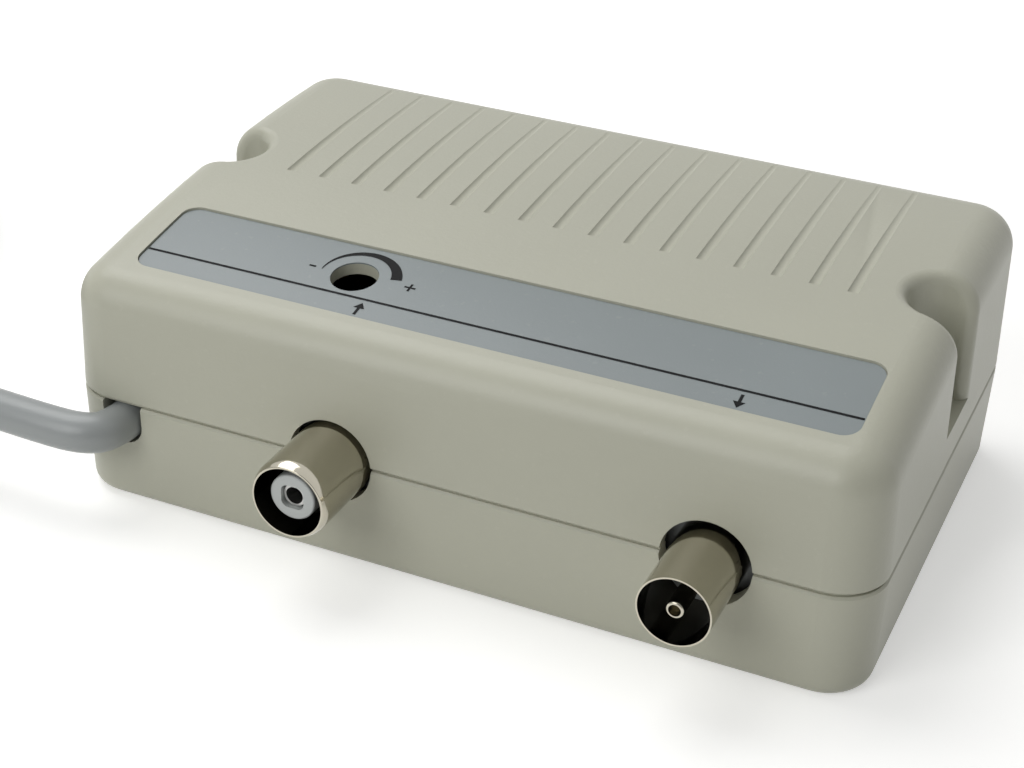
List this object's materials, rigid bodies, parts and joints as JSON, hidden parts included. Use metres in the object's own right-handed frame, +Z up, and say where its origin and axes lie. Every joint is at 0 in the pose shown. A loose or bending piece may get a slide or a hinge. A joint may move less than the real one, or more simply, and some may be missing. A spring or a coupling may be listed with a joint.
{
  "type": "TV signal amplifier",
  "caption": "Mains-powered aerial amplifier: flat two-half plastic case, coaxial socket in, coaxial plug out, screwdriver gain control, side screw recesses, two-core cord with flat plug.",
  "frame": {"origin": "centre of the underside of the case", "axes": "+Z up out of the roof, -Y out of the front with the two connectors, +X to the right seen from the front, along the longest side"},
  "size_m": [0.2596, 0.0967, 0.0393],
  "materials": {
    "case_plastic": "fine satin moulded, warm light grey",
    "label_film": "satin printed film, blue grey",
    "cord_plastic": "satin soft vinyl, pale grey",
    "zinc_steel": "zinc plated",
    "nickel": "satin nickel plate",
    "tinned_metal": "tinned",
    "tinplate": "bright tinplate",
    "copper_wire": "enamelled copper",
    "core_laminations": "varnished laminations",
    "ferrite": "matt ferrite",
    "ceramic_disc": "lacquered disc",
    "resistor_body": "lacquered",
    "board_laminate": "brown paper laminate",
    "capacitor_sleeve": "shrunk sleeve",
    "black_plastic": "moulded",
    "brown_plastic": "moulded",
    "blue_plastic": "moulded",
    "white_plastic": "moulded"
  },
  "bodies": {
    "amplifier": {"air_coils": "copper_wire", "board_screws": "zinc_steel", "bottom_cover": "case_plastic", "case_screws": "zinc_steel", "ceramic_capacitors": "ceramic_disc", "circuit_board": "board_laminate", "clamp_screws": "zinc_steel", "component_leads": "tinned_metal", "cord_clamp": "case_plastic", "ferrite_rings": "ferrite", "gain_trimmer_body": "blue_plastic", "gain_trimmer_terminals": "tinned_metal", "input_socket_contact": "tinned_metal", "input_socket_insulator": "white_plastic", "input_socket_shell": "nickel", "mains_cord": "cord_plastic", "mains_cord_coil": "cord_plastic", "mains_fuse": "brown_plastic", "mains_wire_live": "brown_plastic", "mains_wire_neutral": "blue_plastic", "output_capacitor": "capacitor_sleeve", "output_plug_insulator": "white_plastic", "output_plug_pin": "nickel", "output_plug_shell": "nickel", "plug_body": "cord_plastic", "plug_pin_sleeves": "black_plastic", "plug_pins": "nickel", "primary_winding": "copper_wire", "rating_label": "label_film", "rectifier_diodes": "black_plastic", "regulator_tab": "tinned_metal", "reservoir_capacitor": "capacitor_sleeve", "resistors": "resistor_body", "ring_windings": "copper_wire", "secondary_winding": "copper_wire", "shield_frame": "tinplate", "shield_lid": "tinplate", "shield_partition": "tinplate", "signal_transistors": "black_plastic", "top_cover": "case_plastic", "transformer_bobbin": "black_plastic", "transformer_core": "core_laminations", "voltage_regulator": "black_plastic", "winding_terminals": "tinned_metal"},
    "gain_rotor": {"gain_trimmer_rotor": "white_plastic"}
  },
  "joints": [
    {"name": "gain_turn", "type": "hinge", "parent": "amplifier", "child": "gain_rotor", "pos_m": [-0.0196, -0.02165, 0.012], "axis": [0, 0, 1], "range_deg": [-117.5, 117.5]}
  ]
}
